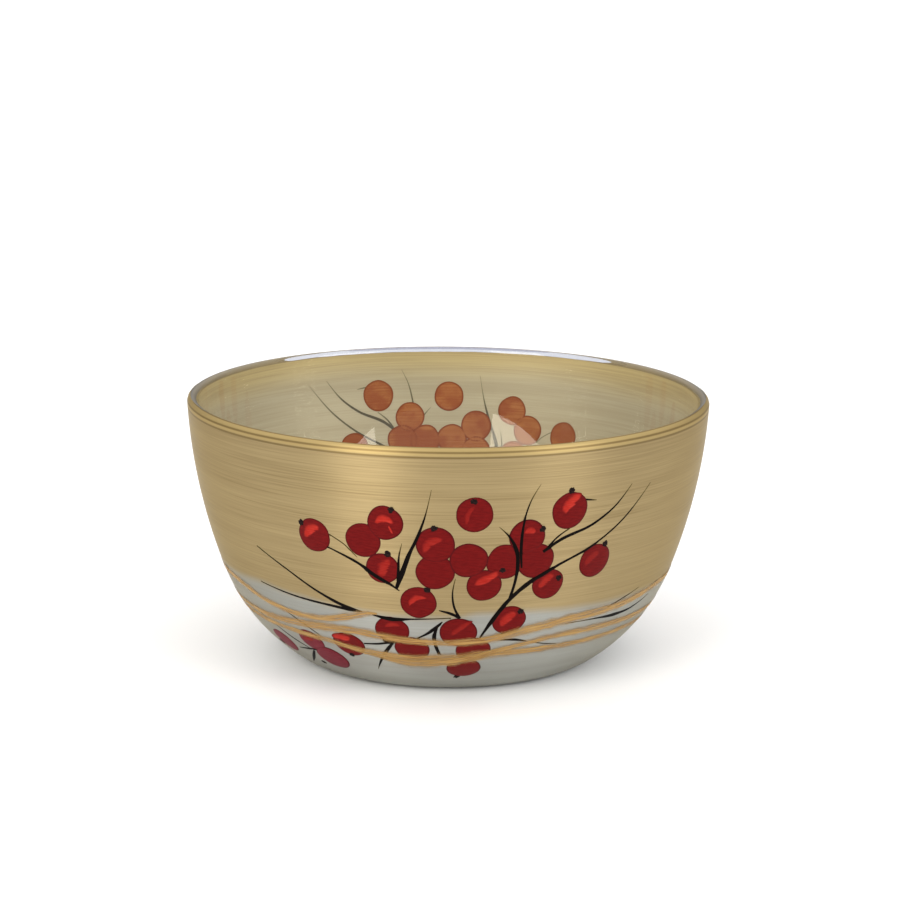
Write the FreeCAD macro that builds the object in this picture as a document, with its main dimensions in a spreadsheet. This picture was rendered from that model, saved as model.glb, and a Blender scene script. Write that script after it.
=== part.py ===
import FreeCAD, Part
import math
import os
import Sketcher
from FreeCAD import Placement, Rotation, Vector

# A round glass bowl, painted by hand on the outside: a gold coat above, a silver coat below,
# and over both two sprays of red berries on dark twigs and long ochre wisps.
# Origin: centre of the foot, on the surface the bowl stands on. +Z up, -Y is the front.

# Driving dimensions, in millimetres.
SIZES = [
    ("rim_radius", 76.0),        # outer edge of the lip
    ("bowl_height", 77.0),
    ("foot_radius", 39.0),       # flat that the bowl stands on
    ("heel_radius", 12.5),       # three tangent arcs carry the outside from foot to lip
    ("heel_top", 2.2),
    ("shoulder_radius", 53.5),
    ("shoulder_top", 27.3),
    ("wall_thickness", 3.0),
    ("dish_radius", 35.5),       # shallow hollow pressed up inside the foot ring
    ("dish_depth", 0.8),
    ("clear_lip", 1.8),          # height of glass left bare at the top
    ("clear_foot", 2.0),         # how far up the heel the glass is bare
    ("coat", 0.08),              # thickness of the gold and silver coats
    ("paint", 0.06),             # thickness of one brush layer over them
    ("tip_radius", 0.9),         # black dot where the flower was
    ("winding_width", 2.0),
    ("loop_width", 2.1),
    ("back_squeeze", 0.85),      # the back spray is a little narrower than the front one,
    ("back_size", 0.9),          # its marks are smaller by this much,
    ("back_shift", -5.0),        # it is turned by this many degrees,
    ("back_lift", 2.2),          # painted this much higher
    ("back_tilt", 0.05),         # and runs up by this much per degree
]

# The painting is laid out by azimuth (degrees from the front, plus to the right) and climb
# (millimetres up the outside from the edge of the foot).

# Berries: brush layer, azimuth, climb, radius. Berries that overlap are in different layers.
BERRIES = [
    (0, -18.3, 63.6, 5.0), (1, -13.2, 69.3, 4.9), (1, -14.3, 55.5, 4.6),
    (0, -30.0, 63.4, 4.9), (0, -2.6, 55.0, 5.3), (1, -2.5, 63.3, 5.2), (2, 4.7, 58.7, 5.1),
    (0, -6.6, 45.0, 5.0), (0, 12.8, 57.9, 5.2), (1, 19.8, 57.6, 5.2), (2, 17.3, 65.2, 5.0),
    (1, 8.4, 50.7, 4.8), (0, 5.7, 72.3, 5.0), (0, 26.6, 71.9, 5.3), (0, 23.6, 49.8, 4.6),
    (0, 35.0, 55.3, 5.1), (0, -13.6, 34.9, 4.8), (1, -9.0, 28.0, 4.8),
    (0, -26.8, 27.3, 4.8), (0, -40.0, 25.6, 4.4), (1, -36.0, 18.6, 5.2),
    (0, -55.5, 20.5, 4.7), (0, 15.2, 38.7, 4.7), (0, 7.0, 28.0, 4.8), (1, 2.9, 34.8, 5.1),
    (1, 5.0, 19.4, 4.7),
]

# Black dots on the berries: azimuth, climb.
TIPS = [
    (-33.0, 66.8), (-11.8, 73.3), (-13.0, 60.1), (-4.4, 49.3), (-2.8, 68.3), (5.5, 76.2),
    (26.6, 77.7), (20.6, 67.2), (12.3, 55.4), (26.1, 51.5), (37.2, 60.2), (17.7, 41.6),
    (-27.4, 22.5), (-42.8, 14.0), (3.2, 14.3), (-60.0, 18.5),
]

# Light strokes on the berries: azimuth, climb, half length, half width, lean in degrees.
GLEAMS = [
    (-30.8, 65.3, 3.4, 1.7, 35), (-13.5, 70.8, 2.7, 1.5, 5), (-12.0, 67.5, 1.4, 0.35, -65),
    (-14.2, 56.0, 3.4, 1.9, 62), (-7.2, 46.7, 3.1, 1.2, 26), (-3.7, 64.3, 3.5, 1.6, 38),
    (4.2, 72.4, 3.0, 0.9, 70), (26.4, 74.4, 3.6, 1.9, 47), (17.8, 67.3, 1.7, 1.3, 0),
    (8.8, 53.0, 4.0, 1.5, 28), (22.6, 51.3, 3.0, 1.6, 45), (33.8, 56.8, 3.0, 1.5, 40),
    (14.4, 39.7, 3.2, 1.9, 50), (3.2, 36.8, 3.8, 1.1, 42), (-13.4, 37.4, 2.4, 1.0, 10),
    (-28.2, 30.3, 3.1, 1.5, 2), (-41.0, 26.4, 2.2, 1.1, 10),
]

# Twigs: brush layer, then (azimuth, climb, width) from one end of the stroke to the other.
TWIGS = [
    (0, [(-48.5, 56.0, 0.3), (-40.0, 51.0, 0.5), (-31.0, 45.0, 0.7), (-25.0, 41.9, 1.0),
         (-20.5, 40.7, 0.3)]),
    (1, [(-51.0, 44.0, 0.3), (-40.0, 42.4, 0.5), (-28.0, 41.3, 0.8), (-23.0, 40.8, 0.9),
         (-20.5, 40.6, 0.3)]),
    (0, [(-18.0, 40.0, 0.4), (-14.0, 39.1, 1.1), (-8.0, 39.4, 0.5), (1.0, 40.1, 0.3)]),
    (0, [(-27.0, 60.4, 0.4), (-20.0, 56.5, 0.8), (-16.0, 53.0, 1.1), (-13.0, 50.7, 0.8),
         (-10.8, 48.6, 0.3)]),
    (0, [(-26.2, 64.3, 0.3), (-23.0, 62.0, 0.3), (-20.0, 58.2, 0.15)]),
    (1, [(-11.5, 49.4, 0.8), (-9.9, 54.5, 1.3), (-8.3, 60.0, 1.0), (-6.2, 66.0, 0.7),
         (-4.7, 71.5, 0.4), (-3.3, 79.5, 0.1)]),
    (2, [(-11.2, 50.5, 0.4), (-10.8, 55.0, 0.6), (-10.4, 60.0, 0.4), (-9.7, 63.5, 0.1)]),
    (1, [(-1.8, 42.6, 0.3), (0.5, 41.8, 0.8), (3.2, 40.2, 0.7)]),
    (0, [(3.0, 40.2, 0.8), (1.8, 43.5, 0.6), (1.3, 48.5, 0.4), (1.9, 53.0, 0.15)]),
    (0, [(-7.8, 32.3, 0.2), (-5.0, 34.2, 0.7), (-2.7, 36.6, 1.0), (-1.0, 38.8, 0.3)]),
    (1, [(-2.1, 37.0, 0.3), (-3.0, 34.0, 1.0), (-2.8, 30.0, 0.9), (-1.8, 26.0, 0.9)]),
    (0, [(8.3, 32.6, 0.5), (11.0, 39.0, 1.1), (14.8, 46.0, 1.1), (19.5, 51.4, 1.2),
         (25.0, 55.3, 0.8), (33.5, 60.2, 0.6), (41.0, 66.5, 0.5), (48.5, 76.0, 0.15)]),
    (1, [(14.5, 45.4, 0.8), (15.6, 53.0, 0.8), (15.0, 61.5, 0.9), (13.3, 65.5, 0.5),
         (11.0, 68.5, 0.15)]),
    (0, [(16.6, 55.8, 0.4), (16.0, 63.0, 0.8), (16.4, 70.5, 0.5), (17.8, 76.5, 0.3),
         (19.5, 80.3, 0.1)]),
    (0, [(21.2, 60.3, 0.9), (25.0, 63.3, 0.9), (33.0, 67.0, 0.7), (38.5, 71.5, 0.5),
         (42.5, 77.0, 0.15)]),
    (1, [(22.5, 61.8, 0.6), (24.2, 64.2, 0.5), (27.0, 66.6, 0.25)]),
    (0, [(30.3, 74.6, 0.4), (31.5, 74.3, 0.4), (33.0, 74.0, 0.15)]),
    (1, [(8.9, 32.5, 0.3), (12.0, 33.4, 0.5), (16.0, 34.6, 0.3)]),
    (0, [(13.0, 31.6, 0.2), (17.5, 31.4, 0.8), (21.0, 30.4, 0.3)]),
    (0, [(22.5, 29.8, 0.3), (26.0, 28.6, 0.4), (30.5, 27.7, 0.2)]),
    (0, [(31.0, 35.3, 0.2), (41.0, 35.0, 0.5), (47.0, 34.6, 1.1), (54.0, 34.9, 0.7),
         (62.5, 37.5, 0.15)]),
    (0, [(43.5, 38.3, 0.4), (48.0, 39.8, 0.4), (54.5, 42.0, 0.15)]),
    (0, [(-44.5, 35.8, 0.2), (-40.0, 32.8, 0.5), (-35.5, 29.2, 0.3)]),
    (0, [(-53.0, 27.8, 0.3), (-48.0, 24.0, 0.6), (-43.0, 21.0, 0.3)]),
    (1, [(-49.0, 19.7, 0.3), (-44.0, 20.7, 0.8), (-40.5, 21.6, 0.4)]),
    (2, [(-50.0, 11.8, 0.2), (-46.0, 15.6, 0.9), (-42.0, 20.5, 0.6)]),
    (0, [(-22.0, 28.7, 0.5), (-18.0, 29.2, 0.7), (-13.2, 30.7, 0.9)]),
    (1, [(-16.4, 30.9, 1.1), (-14.8, 30.8, 1.1), (-13.4, 30.8, 0.7)]),
    (2, [(-14.0, 30.0, 0.7), (-16.3, 26.2, 1.0), (-18.4, 22.2, 0.7), (-21.0, 16.5, 0.1)]),
]

# One wisp winds two and a bit times round the bowl: azimuth, climb.
WINDING = [
    (-19.5, 40.4), (-24.0, 38.5), (-31.0, 36.6), (-40.0, 36.0), (-50.0, 37.4), (-64.0, 40.8),
    (-90.0, 40.0), (-120.0, 36.5), (-150.0, 36.0), (-180.0, 38.0), (-210.0, 37.5),
    (-240.0, 37.0), (-270.0, 39.5), (-295.0, 40.0), (-312.0, 38.0), (-328.0, 36.9),
    (-340.0, 34.8), (-350.0, 31.8), (-360.0, 31.2), (-371.0, 31.9), (-384.0, 33.6),
    (-398.0, 32.8), (-412.0, 31.8), (-430.0, 32.5), (-455.0, 31.0), (-485.0, 29.0),
    (-515.0, 30.5), (-545.0, 31.5), (-575.0, 29.5), (-605.0, 29.5), (-635.0, 30.5),
    (-660.0, 31.0), (-680.0, 31.5), (-693.0, 31.1), (-704.0, 28.4), (-713.0, 24.6),
    (-722.0, 21.6), (-731.0, 21.4), (-742.0, 24.0),
]

# The other closes on itself: azimuth, climb.
LOOP = [
    (-170.0, 26.0), (-140.0, 24.5), (-110.0, 26.0), (-80.0, 29.0), (-62.0, 29.2),
    (-46.0, 28.7), (-33.0, 27.8), (-22.0, 25.7), (-11.0, 24.0), (1.0, 24.7), (12.0, 26.2),
    (24.0, 26.2), (40.0, 26.6), (60.0, 26.6), (85.0, 24.5), (110.0, 23.5), (135.0, 25.5),
    (160.0, 27.0),
]

STATION = 2.5                    # spacing along a stroke, in degrees or millimetres
FEWEST = 6                       # stations on the shortest stroke
HAIR = 0.1                       # the finest line of the brush
JOIN = 1e-5                      # tolerance that a stroke's faces are joined to
REACH = 2.0                      # how far a brush mark's cutter stands in and out of the wall
MARGIN = 1.0                     # how far a layer of paint reaches past the marks cut from it


def new_sheet(doc):
    sheet = doc.addObject("Spreadsheet::Sheet", "sizes")
    for row, (alias, value) in enumerate(SIZES, start=1):
        sheet.set("A%d" % row, alias)
        sheet.set("B%d" % row, str(value))
        sheet.setAlias("B%d" % row, alias)
    doc.recompute()
    return sheet


class Outside:
    """The bowl's outer wall, unrolled: heel, shoulder and wall arcs, each tangent to the next."""

    def __init__(self, sheet):
        lip = sheet.wall_thickness / 2
        self.heel = math.acos(1 - sheet.heel_top / sheet.heel_radius)
        rise = (sheet.shoulder_top - sheet.heel_top) / sheet.shoulder_radius
        self.shoulder = math.acos(math.cos(self.heel) - rise)
        self.heel_end = self.step((sheet.foot_radius, 0), sheet.heel_radius, 0, self.heel)
        self.shoulder_end = self.step(self.heel_end, sheet.shoulder_radius, self.heel,
                                      self.shoulder)
        # The wall arc leaves the shoulder on its tangent and touches the round of the lip.
        self.lip_centre = (sheet.rim_radius - lip, sheet.bowl_height - lip)
        across = self.lip_centre[0] - self.shoulder_end[0]
        up = self.lip_centre[1] - self.shoulder_end[1]
        toward = up * math.cos(self.shoulder) - across * math.sin(self.shoulder)
        self.wall_radius = (across ** 2 + up ** 2 - lip ** 2) / (2 * (toward - lip))
        self.wall_centre = self.centre(self.shoulder_end, self.wall_radius, self.shoulder)
        self.lean = math.atan2(self.lip_centre[0] - self.wall_centre[0],
                               self.wall_centre[1] - self.lip_centre[1])
        self.arcs = [
            (self.centre((sheet.foot_radius, 0), sheet.heel_radius, 0), sheet.heel_radius,
             0, self.heel),
            (self.centre(self.heel_end, sheet.shoulder_radius, self.heel),
             sheet.shoulder_radius, self.heel, self.shoulder),
            (self.wall_centre, self.wall_radius, self.shoulder, self.lean),
        ]

    @staticmethod
    def centre(start, radius, slope):
        return (start[0] - radius * math.sin(slope), start[1] + radius * math.cos(slope))

    def step(self, start, radius, slope, end_slope):
        middle = self.centre(start, radius, slope)
        return (middle[0] + radius * math.sin(end_slope),
                middle[1] - radius * math.cos(end_slope))

    def joints(self):
        """Climb at the end of each arc."""
        ends = []
        climb = 0.0
        for _, radius, low, high in self.arcs:
            climb += radius * (high - low)
            ends.append(climb)
        return ends

    def at(self, climb, off=0.0):
        """Radius, height and slope of the point off millimetres outside the wall."""
        for (middle, radius, low, high), end in zip(self.arcs, self.joints()):
            if climb <= end or high == self.lean:
                slope = high - (end - climb) / radius
                return (middle[0] + (radius + off) * math.sin(slope),
                        middle[1] - (radius + off) * math.cos(slope), slope)

    def point(self, azimuth, climb, off=0.0):
        radius, height, _ = self.at(climb, off)
        turn = math.radians(azimuth)
        return Vector(radius * math.sin(turn), -radius * math.cos(turn), height)

    def normal(self, azimuth, climb):
        return (self.point(azimuth, climb, 1.0) - self.point(azimuth, climb)).normalize()


def in_plane(point):
    return Vector(point[0], point[1], 0)


def sketch_arc(middle, radius, low, high):
    """An arc in the sketch from slope low to slope high, centred above the surface it rounds."""
    circle = Part.Circle(in_plane(middle), Vector(0, 0, 1), radius)
    return Part.ArcOfCircle(circle, low - math.pi / 2, high - math.pi / 2)


def glass_bowl(doc, sheet, outside):
    """One pressed glass wall of even thickness, turned about the axis."""
    body = doc.addObject("PartDesign::Body", "glass_bowl")
    body.Label = "glass_bowl"
    sketch = body.newObject("Sketcher::SketchObject", "glass_profile")
    planes = [f for f in body.Origin.OriginFeatures if f.Role == "XZ_Plane"]
    sketch.AttachmentSupport = [(planes[0], "")]
    sketch.MapMode = "FlatFace"

    wall = sheet.wall_thickness
    outer = [sketch_arc(*arc) for arc in outside.arcs]
    inner = [sketch_arc(middle, radius - wall, low, high)
             for middle, radius, low, high in outside.arcs]
    lip = sketch_arc(outside.lip_centre, wall / 2, outside.lean, outside.lean + math.pi)
    dish_curve = (sheet.dish_radius ** 2 + sheet.dish_depth ** 2) / (2 * sheet.dish_depth)
    dish_end = math.asin(sheet.dish_radius / dish_curve)
    dish = Part.ArcOfCircle(
        Part.Circle(Vector(0, sheet.dish_depth - dish_curve, 0), Vector(0, 0, 1), dish_curve),
        math.pi / 2 - dish_end, math.pi / 2)
    foot = Part.LineSegment(Vector(sheet.dish_radius, 0, 0), Vector(sheet.foot_radius, 0, 0))
    floor = Part.LineSegment(Vector(sheet.foot_radius, wall, 0), Vector(0, wall, 0))
    axis = Part.LineSegment(Vector(0, wall, 0), Vector(0, sheet.dish_depth, 0))
    names = ["heel", "shoulder", "wall", "lip", "inner_wall", "inner_shoulder", "inner_heel",
             "floor", "axis", "dish", "foot"]
    shapes = outer + [lip] + inner[::-1] + [floor, axis, dish, foot]
    ids = {name: sketch.addGeometry(shape, False) for name, shape in zip(names, shapes)}

    origin, vertical = (-1, 1), -2
    start, end, middle = 1, 2, 3

    def hold(kind, *where):
        return sketch.addConstraint(Sketcher.Constraint(kind, *where))

    def size(name, formula, kind, *where):
        index = hold(kind, *where)
        sketch.renameConstraint(index, name)
        sketch.setExpression("Constraints." + name, formula)

    hold("Tangent", ids["foot"], end, ids["heel"], start)
    hold("Tangent", ids["heel"], end, ids["shoulder"], start)
    hold("Tangent", ids["shoulder"], end, ids["wall"], start)
    hold("Tangent", ids["wall"], end, ids["lip"], start)
    hold("Tangent", ids["lip"], end, ids["inner_wall"], end)
    hold("Tangent", ids["inner_wall"], start, ids["inner_shoulder"], end)
    hold("Tangent", ids["inner_shoulder"], start, ids["inner_heel"], end)
    hold("Tangent", ids["inner_heel"], start, ids["floor"], start)
    hold("Coincident", ids["floor"], end, ids["axis"], start)
    hold("Coincident", ids["axis"], end, ids["dish"], end)
    hold("Coincident", ids["dish"], start, ids["foot"], start)
    hold("Coincident", ids["wall"], middle, ids["inner_wall"], middle)
    hold("Coincident", ids["shoulder"], middle, ids["inner_shoulder"], middle)
    hold("Coincident", ids["heel"], middle, ids["inner_heel"], middle)
    hold("Horizontal", ids["foot"])
    hold("Horizontal", ids["floor"])
    hold("PointOnObject", ids["foot"], start, -1)
    hold("PointOnObject", ids["axis"], start, vertical)
    hold("PointOnObject", ids["axis"], end, vertical)
    hold("PointOnObject", ids["dish"], middle, vertical)
    size("foot_radius", "sizes.foot_radius", "DistanceX", *origin, ids["foot"], end,
         sheet.foot_radius)
    size("dish_radius", "sizes.dish_radius", "DistanceX", *origin, ids["foot"], start,
         sheet.dish_radius)
    size("dish_depth", "sizes.dish_depth", "DistanceY", *origin, ids["dish"], end,
         sheet.dish_depth)
    size("heel_radius", "sizes.heel_radius", "Radius", ids["heel"], sheet.heel_radius)
    size("heel_top", "sizes.heel_top", "DistanceY", *origin, ids["heel"], end, sheet.heel_top)
    size("shoulder_radius", "sizes.shoulder_radius", "Radius", ids["shoulder"],
         sheet.shoulder_radius)
    size("shoulder_top", "sizes.shoulder_top", "DistanceY", *origin, ids["shoulder"], end,
         sheet.shoulder_top)
    size("lip_radius", "sizes.wall_thickness / 2", "Radius", ids["lip"], wall / 2)
    size("lip_out", "sizes.rim_radius - sizes.wall_thickness / 2", "DistanceX", *origin,
         ids["lip"], middle, outside.lip_centre[0])
    size("lip_up", "sizes.bowl_height - sizes.wall_thickness / 2", "DistanceY", *origin,
         ids["lip"], middle, outside.lip_centre[1])

    turned = body.newObject("PartDesign::Revolution", "glass_turned")
    turned.Profile = sketch
    turned.ReferenceAxis = (sketch, ["V_Axis"])
    turned.Angle = 360
    doc.recompute()
    if sketch.solve() != 0 or not sketch.FullyConstrained:
        raise RuntimeError("glass profile: solve %d, fully constrained %s"
                           % (sketch.solve(), sketch.FullyConstrained))
    return body


def film(outside, low, high, inside, outer):
    """A skin of revolution between two climbs and two distances from the glass."""
    breaks = [low] + [c for c in outside.joints()[:2] if low < c < high] + [high]

    def side(off):
        edges = []
        for a, b in zip(breaks, breaks[1:]):
            three = [outside.point(90, climb, off) for climb in (a, (a + b) / 2, b)]
            edges.append(Part.Arc(*three).toShape())
        return edges

    near, far = side(inside), side(outer)
    ends = [Part.makeLine(outside.point(90, climb, inside), outside.point(90, climb, outer))
            for climb in (low, high)]
    wire = Part.Wire(Part.__sortEdges__(near + far + ends))
    return Part.Face(wire).revolve(Vector(0, 0, 0), Vector(0, 0, 1), 360)


def dish_coat(doc, sheet):
    """Silver in the hollow under the foot, a slice of the ball that the hollow is cut from."""
    curve = (sheet.dish_radius ** 2 + sheet.dish_depth ** 2) / (2 * sheet.dish_depth)
    middle = Vector(0, 0, sheet.dish_depth - curve)
    ball = Part.makeSphere(curve, middle)
    smaller = Part.makeSphere(curve - sheet.coat, middle)
    disc = Part.makeCylinder(sheet.dish_radius, sheet.bowl_height, Vector(0, 0, sheet.coat))
    return ball.cut(smaller).common(disc)


def mark(outside, azimuth, climb, length, width, lean):
    """Cutter for an oval brush mark: length along the lean, width across it, both half sizes."""
    normal = outside.normal(azimuth, climb)
    along = Vector(math.cos(math.radians(azimuth)), math.sin(math.radians(azimuth)), 0)
    up = normal.cross(along)
    leaning = along * math.cos(math.radians(lean)) + up * math.sin(math.radians(lean))
    centre = outside.point(azimuth, climb) - normal * REACH
    if length > width:
        curve = Part.Ellipse(centre + leaning * length,
                             centre + normal.cross(leaning) * width, centre)
    else:
        curve = Part.Circle(centre, normal, length)
    return Part.Face(Part.Wire(curve.toShape())).extrude(normal * (2 * REACH))


def painted_marks(outside, marks, under, paint):
    """Patches of paint, one solid for each mark, a brush layer thick and in its own layer."""
    patches = []
    for level in sorted({m[0] for m in marks}):
        layer_marks = [m[1:] for m in marks if m[0] == level]
        margin = max(m[2] for m in layer_marks) + MARGIN
        low = min(m[1] for m in layer_marks) - margin
        high = max(m[1] for m in layer_marks) + margin
        inside = under + level * paint
        layer = film(outside, low, high, inside, inside + paint)
        for layer_mark in layer_marks:
            patches += layer.common(mark(outside, *layer_mark)).Solids
    return patches


def stations(knots):
    """Evenly spaced (azimuth, climb, width) on a smooth line through a stroke's knots."""
    path = Part.BSplineCurve()
    path.interpolate([Vector(*k) for k in knots])
    count = max(FEWEST, int(path.length() / STATION))
    return [(p.x, p.y, max(p.z, HAIR)) for p in path.discretize(count)]


def edge_points(outside, line, closed):
    """Azimuth and climb of both edges of a stroke."""
    sides = ([], [])
    last = len(line) - 1
    for i, (azimuth, climb, width) in enumerate(line):
        before = line[i - 1 if i > 0 or closed else 0]
        after = line[(i + 1) % len(line) if closed else min(i + 1, last)]
        per_degree = math.radians(1) * outside.at(climb)[0]
        turn = (after[0] - before[0] + 180) % 360 - 180
        run = Vector(turn * per_degree, after[1] - before[1], 0)
        run.normalize()
        for side, sign in zip(sides, (1, -1)):
            side.append((azimuth - sign * run.y * width / 2 / per_degree,
                         climb + sign * run.x * width / 2))
    return sides


def ribbon(outside, line, inside, outer, closed=False):
    """A brush stroke: a thin solid between two edges, bent to the wall."""
    rails = []
    for side, off in ((0, inside), (1, inside), (1, outer), (0, outer)):
        points = [outside.point(a, c, off) for a, c in edge_points(outside, line, closed)[side]]
        curve = Part.BSplineCurve()
        curve.interpolate(Points=points, PeriodicFlag=closed)
        rails.append(curve.toShape())
    faces = [Part.makeRuledSurface(rails[i], rails[(i + 1) % 4]) for i in range(4)]
    if not closed:
        for pick in (0, 1):
            corners = [(r.valueAt(r.FirstParameter), r.valueAt(r.LastParameter))[pick]
                       for r in rails]
            faces.append(Part.makeRuledSurface(Part.makeLine(corners[0], corners[1]),
                                               Part.makeLine(corners[3], corners[2])))
    shell = Part.Shell(faces)
    shell.sewShape()
    solid = Part.Solid(Part.Shell(shell.Faces))
    if solid.Volume < 0:
        solid.reverse()
    solid.fix(JOIN, JOIN, JOIN)
    return solid


def on_back(sheet, azimuth, climb):
    """Where a mark of the front spray comes again on the back one, and its size there."""
    return (180 + azimuth * sheet.back_squeeze + sheet.back_shift,
            climb + sheet.back_lift + azimuth * sheet.back_tilt, sheet.back_size)


def on_front(sheet, azimuth, climb):
    return (azimuth, climb, 1.0)


def placed(sheet, place, layer, azimuth, climb, long, wide, lean=0):
    """A round or oval mark of a spray."""
    azimuth, climb, size = place(sheet, azimuth, climb)
    return (layer, azimuth, climb, long * size, wide * size, lean)


def placed_line(sheet, place, knots):
    """The line of a twig of a spray, with its width at each point."""
    line = []
    for azimuth, climb, width in stations(knots):
        azimuth, climb, size = place(sheet, azimuth, climb)
        line.append((azimuth, climb, width * size))
    return line


def levels(marks):
    return 1 + max(m[0] for m in marks)


def spray(sheet, outside, place):
    """The berries, tips, gleams and twigs of one spray, each a list of solids."""
    paint = sheet.paint
    berries = [placed(sheet, place, n, a, c, r, r) for n, a, c, r in BERRIES]
    tips = [placed(sheet, place, 0, a, c, sheet.tip_radius, sheet.tip_radius) for a, c in TIPS]
    gleams = [placed(sheet, place, 0, *gleam) for gleam in GLEAMS]
    on_berries = sheet.coat + levels(BERRIES) * paint
    twigs = []
    for level, knots in TWIGS:
        line = placed_line(sheet, place, knots)
        under = on_berries + (1 + level) * paint
        twigs.append(ribbon(outside, line, under, under + paint))
    return {
        "berries": painted_marks(outside, berries, sheet.coat, paint),
        "berry_tips": painted_marks(outside, tips, on_berries, paint),
        "berry_gleams": painted_marks(outside, gleams, on_berries, paint),
        "twigs": twigs,
    }


def wisps(sheet, outside):
    """The two ochre wisps, each in its own layer over the twigs."""
    under = sheet.coat + (levels(BERRIES) + 1 + levels(TWIGS)) * sheet.paint
    loop = stations([k + (sheet.loop_width,) for k in LOOP + [(LOOP[0][0] + 360, LOOP[0][1])]])
    winding = stations([k + (sheet.winding_width,) for k in WINDING])
    over = under + sheet.paint
    return {
        "ochre_wisp_loop": [ribbon(outside, loop[:-1], under, over, closed=True)],
        "ochre_wisp_winding": [ribbon(outside, winding, over, over + sheet.paint)],
    }


def add_solids(doc, name, solids):
    """A node made of one solid, or of several separate ones."""
    feature = doc.addObject("Part::Feature", name)
    feature.Label = name
    feature.Shape = solids[0] if len(solids) == 1 else Part.Compound(solids)
    feature.Placement = Placement(Vector(0, 0, 0), Rotation())
    return feature


def check(doc, parts):
    for thing in doc.Objects:
        if "Invalid" in thing.State or "Error" in thing.State:
            raise RuntimeError("%s: %s" % (thing.Name, thing.State))
    for part in parts:
        if part.Shape.isNull() or not part.Shape.isValid() or part.Shape.Volume <= 0:
            raise RuntimeError("bad shape: " + part.Label)


def main():
    doc = FreeCAD.newDocument("painted_bowl")
    sheet = new_sheet(doc)
    outside = Outside(sheet)
    seam = outside.joints()[1]
    top = outside.joints()[2] + sheet.wall_thickness / 2 - sheet.clear_lip
    parts = [glass_bowl(doc, sheet, outside)]
    parts.append(add_solids(doc, "gold_coat", [film(outside, seam, top, 0, sheet.coat)]))
    parts.append(add_solids(doc, "silver_coat", [film(outside, sheet.clear_foot, seam, 0,
                                                     sheet.coat)]))
    parts.append(add_solids(doc, "silver_dish_coat", dish_coat(doc, sheet).Solids))
    for side, place in (("front", on_front), ("back", on_back)):
        for name, solids in spray(sheet, outside, place).items():
            parts.append(add_solids(doc, side + "_" + name, solids))
    for name, solids in wisps(sheet, outside).items():
        parts.append(add_solids(doc, name, solids))
    doc.recompute()
    check(doc, parts)
    os.makedirs("parts", exist_ok=True)
    for part in parts:
        part.Shape.exportStep("parts/%s.step" % part.Label)
        print("%-22s solids %3d  volume %10.2f  faces %d"
              % (part.Label, len(part.Shape.Solids), part.Shape.Volume, len(part.Shape.Faces)))


main()
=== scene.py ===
"""Looks of a clear glass bowl that is painted by hand on the outside, around its CAD frame.

The wall is unrolled as in the CAD source: azimuth in degrees from the front, plus to the right,
climb in millimetres up the outside from the edge of the foot, and off, millimetres out of the glass.
"""

import math

import bpy
from mathutils import Matrix, Vector, noise


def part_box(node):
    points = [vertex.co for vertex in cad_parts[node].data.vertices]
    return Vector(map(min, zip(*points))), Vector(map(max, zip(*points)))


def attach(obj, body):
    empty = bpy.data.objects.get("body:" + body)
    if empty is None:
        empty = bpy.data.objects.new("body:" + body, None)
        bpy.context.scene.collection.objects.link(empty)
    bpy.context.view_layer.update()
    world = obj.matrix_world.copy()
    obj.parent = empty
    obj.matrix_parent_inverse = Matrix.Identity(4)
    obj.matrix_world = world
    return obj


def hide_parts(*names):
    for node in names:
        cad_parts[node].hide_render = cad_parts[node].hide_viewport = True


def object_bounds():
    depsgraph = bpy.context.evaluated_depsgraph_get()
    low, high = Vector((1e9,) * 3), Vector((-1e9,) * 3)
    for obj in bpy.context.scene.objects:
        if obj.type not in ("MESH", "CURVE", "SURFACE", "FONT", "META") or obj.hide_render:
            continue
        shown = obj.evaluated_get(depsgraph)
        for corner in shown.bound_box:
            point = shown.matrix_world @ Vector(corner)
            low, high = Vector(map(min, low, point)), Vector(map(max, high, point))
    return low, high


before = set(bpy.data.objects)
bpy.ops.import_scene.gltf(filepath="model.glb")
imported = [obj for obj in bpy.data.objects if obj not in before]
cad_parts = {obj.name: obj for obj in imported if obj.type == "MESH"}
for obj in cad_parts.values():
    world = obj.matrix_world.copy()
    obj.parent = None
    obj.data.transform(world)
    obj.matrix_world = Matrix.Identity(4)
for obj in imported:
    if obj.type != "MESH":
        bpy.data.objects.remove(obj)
cad_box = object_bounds()

MM = 0.001

# The bowl's outside in millimetres, as three tangent arcs, and its wall.
RIM_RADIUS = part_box("glass_bowl")[1].x / MM
BOWL_HEIGHT = cad_box[1].z / MM
FOOT_RADIUS = 39.0
HEEL_RADIUS = 12.5
HEEL_TOP = 2.2
SHOULDER_RADIUS = 53.5
SHOULDER_TOP = 27.3
WALL = 3.0
DISH_RADIUS = 35.5
DISH_DEPTH = 0.8
CLEAR_LIP = 1.8
CLEAR_FOOT = 1.7

# Distances out of the outer face of the glass. The backs of the paint reach into the glass, what
# was painted first the deepest, so that it shows through the wall from inside the bowl.
COAT_TOP = 0.08
BERRY_TOP = 0.12
LAYER = 0.08                     # added by each brush layer of berries
BERRY_BACK = -0.08
TWIG_BACK = -0.06
WISP_BACK = -0.04
COAT_BACK = -0.02
TIP_BACK = 0.0                   # the dots don't show inside

# Heights over what a mark crosses, and depths into it.
STROKE = 0.07                    # twigs and dots
FILM = 0.02                      # gleams and wisps
LOOP_LIFT = 0.07                 # added under each wisp, so that it clears the twigs
WINDING_LIFT = 0.12
STROKE_SINK = 0.01
TIP_SINK = 0.02
GLEAM_SINK = 0.04

DISH_CLEARANCE = 0.01            # from the silver under the foot down to the foot's level

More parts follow.
